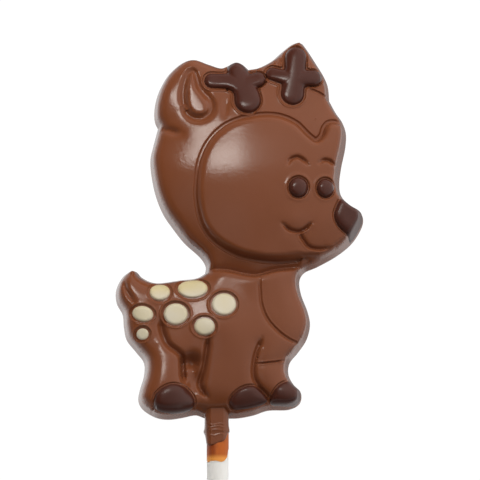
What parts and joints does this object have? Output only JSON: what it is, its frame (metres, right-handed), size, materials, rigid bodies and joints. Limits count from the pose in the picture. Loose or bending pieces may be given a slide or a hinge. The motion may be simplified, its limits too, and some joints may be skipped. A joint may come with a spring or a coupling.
{
  "type": "chocolate lollipop",
  "caption": "Moulded milk chocolate fawn with dark chocolate antlers, eyes, nose and hooves and white chocolate spots, on a round paper stick.",
  "frame": {"origin": "on the flat back, on the stick's axis, at the figure's lower edge where the stick goes in", "axes": "+X to the right of the figure as it is looked at, +Y along the stick up to the antlers, +Z out of the moulded face"},
  "size_m": [0.0578, 0.1886, 0.0129],
  "materials": {
    "milk_chocolate": "satin",
    "dark_chocolate": "gloss",
    "white_chocolate": "satin",
    "paper_stick": "matte"
  },
  "bodies": {
    "root": {"figure": "milk_chocolate", "antler_left": "dark_chocolate", "antler_right": "dark_chocolate", "eye_left": "dark_chocolate", "eye_right": "dark_chocolate", "nose": "dark_chocolate", "hoof_front": "dark_chocolate", "hoof_middle": "dark_chocolate", "hoof_hind": "dark_chocolate", "spot_rump": "white_chocolate", "spot_back": "white_chocolate", "spot_shoulder": "white_chocolate", "spot_flank": "white_chocolate", "spot_belly": "white_chocolate", "spot_thigh": "white_chocolate", "spot_small": "white_chocolate", "stick": "paper_stick"}
  },
  "joints": []
}
